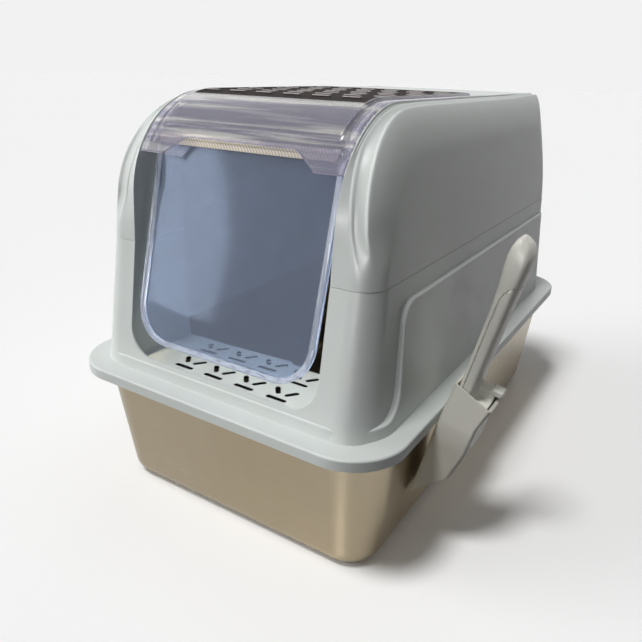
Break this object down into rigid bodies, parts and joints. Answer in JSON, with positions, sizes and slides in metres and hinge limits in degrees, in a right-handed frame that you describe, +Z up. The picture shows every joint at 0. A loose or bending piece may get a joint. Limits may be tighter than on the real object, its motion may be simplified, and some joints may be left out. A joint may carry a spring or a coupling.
{
  "type": "enclosed litter box",
  "caption": "Deep steel pan under a two-part plastic shell, with a flip-up clear arch cover, a see-through swing flap, a slotted entry step, and a hanging pocket that holds a scoop.",
  "frame": {"origin": "centre of the pan's underside, on the floor", "axes": "+X across the box towards the scoop, -Y towards the entry, +Z up"},
  "size_m": [0.4413, 0.616, 0.4295],
  "materials": {
    "pan_steel": "brushed stainless steel",
    "shell_grey": "satin light grey plastic",
    "clear_plastic": "clear moulded plastic",
    "flap_plastic": "blue-tinted clear plastic",
    "rail_plastic": "beige plastic",
    "pin_steel": "polished steel pin",
    "step_ivory": "ivory plastic",
    "holder_grey": "warm grey plastic",
    "scoop_grey": "warm grey plastic"
  },
  "bodies": {
    "pan": {"litter_pan": "pan_steel"},
    "shell": {"lower_shell": "shell_grey"},
    "hood": {"upper_hood": "shell_grey", "cover_hinge_pin_right": "pin_steel", "cover_hinge_pin_left": "pin_steel"},
    "cover": {"clear_cover": "clear_plastic", "flap_rod": "pin_steel", "flap_rod_cap_right": "rail_plastic", "flap_rod_cap_left": "rail_plastic"},
    "flap": {"swing_flap": "flap_plastic", "flap_hinge_rail": "rail_plastic"},
    "step": {"entry_step": "step_ivory"},
    "holder": {"scoop_holder": "holder_grey"},
    "scoop": {"scoop": "scoop_grey", "scoop_grip": "scoop_grey"}
  },
  "joints": [
    {"name": "shell_lift", "type": "slide", "parent": "pan", "child": "shell", "axis": [0.2283, 0, 0.9736], "range_m": [0, 0.2]},
    {"name": "hood_lift", "type": "slide", "parent": "shell", "child": "hood", "axis": [0, 0, 1], "range_m": [0, 0.2]},
    {"name": "cover_hinge", "type": "hinge", "parent": "hood", "child": "cover", "pos_m": [0, 0.074, 0.4241], "axis": [-1, 0, 0], "range_deg": [0, 105]},
    {"name": "flap_swing", "type": "hinge", "parent": "cover", "child": "flap", "pos_m": [0, -0.2286, 0.386], "axis": [-1, 0, 0], "range_deg": [-70, 20]},
    {"name": "step_lift", "type": "slide", "parent": "shell", "child": "step", "axis": [0, 0, 1], "range_m": [0, 0.024]},
    {"name": "holder_lift", "type": "slide", "parent": "shell", "child": "holder", "axis": [0.2283, 0, 0.9736], "range_m": [0, 0.1]},
    {"name": "scoop_draw", "type": "slide", "parent": "holder", "child": "scoop", "axis": [0.2283, 0, 0.9736], "range_m": [0, 0.16]}
  ]
}
